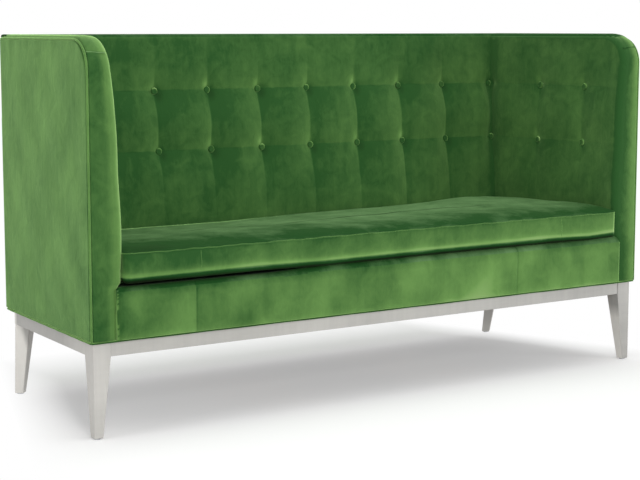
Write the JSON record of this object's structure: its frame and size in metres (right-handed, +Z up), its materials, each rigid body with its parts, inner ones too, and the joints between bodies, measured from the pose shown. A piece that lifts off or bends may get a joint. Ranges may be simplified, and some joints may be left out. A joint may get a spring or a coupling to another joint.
{
  "type": "banquette",
  "caption": "Long high-backed bench seat with straight flaring arms as tall as the tufted back, a loose seat cushion and a painted wooden base on tapered legs",
  "frame": {"origin": "On the floor, in the middle of the outline of the whole object seen from above.", "axes": "+X runs along the seat to the sitter's left, which is the viewer's right seen from the front; -Y is the front; +Z is up."},
  "size_m": [1.905, 0.6476, 1.028],
  "materials": {
    "velvet": "crushed velvet pile",
    "painted_wood": "satin paint",
    "timber": "planed",
    "webbing": "woven",
    "lining": "plain weave",
    "deck_cloth": "plain weave",
    "steel": "zinc plated"
  },
  "bodies": {
    "sofa": {"arm_backing_left": "lining", "arm_backing_right": "lining", "arm_bottom_rail_left": "timber", "arm_bottom_rail_right": "timber", "arm_button_ties_left": "webbing", "arm_button_ties_right": "webbing", "arm_buttons_left": "velvet", "arm_buttons_right": "velvet", "arm_front_band_left": "velvet", "arm_front_band_right": "velvet", "arm_front_post_left": "timber", "arm_front_post_right": "timber", "arm_top_band_left": "velvet", "arm_top_band_right": "velvet", "arm_top_rail_left": "timber", "arm_top_rail_right": "timber", "arm_welt_left": "velvet", "arm_welt_right": "velvet", "back_base_rail": "painted_wood", "back_bottom_rail": "timber", "back_button_ties": "webbing", "back_buttons": "velvet", "back_leg_left": "painted_wood", "back_leg_right": "painted_wood", "back_middle_posts": "timber", "back_post_left": "timber", "back_post_right": "timber", "back_straps": "webbing", "back_top_band": "velvet", "back_top_rail": "timber", "base_screws": "steel", "base_stretchers": "timber", "bottom_edge_welt": "velvet", "corner_blocks": "timber", "deck_pad": "deck_cloth", "dust_cover": "lining", "front_base_rail": "painted_wood", "front_border": "velvet", "front_leg_left": "painted_wood", "front_leg_right": "painted_wood", "inside_arm_pad_left": "velvet", "inside_arm_pad_right": "velvet", "inside_back_pad": "velvet", "left_base_rail": "painted_wood", "leg_bolts": "steel", "leg_glides": "steel", "outside_arm_left": "velvet", "outside_arm_right": "velvet", "outside_back": "velvet", "right_base_rail": "painted_wood", "seat_back_board": "timber", "seat_front_board": "timber", "seat_side_board_left": "timber", "seat_side_board_right": "timber", "seat_straps_cross": "webbing", "seat_straps_long": "webbing"},
    "cushion": {"seat_cushion": "velvet"}
  },
  "joints": [
    {"name": "cushion_lift", "type": "slide", "parent": "sofa", "child": "cushion", "axis": [0, 0, 1], "range_m": [0, 0.65]}
  ]
}
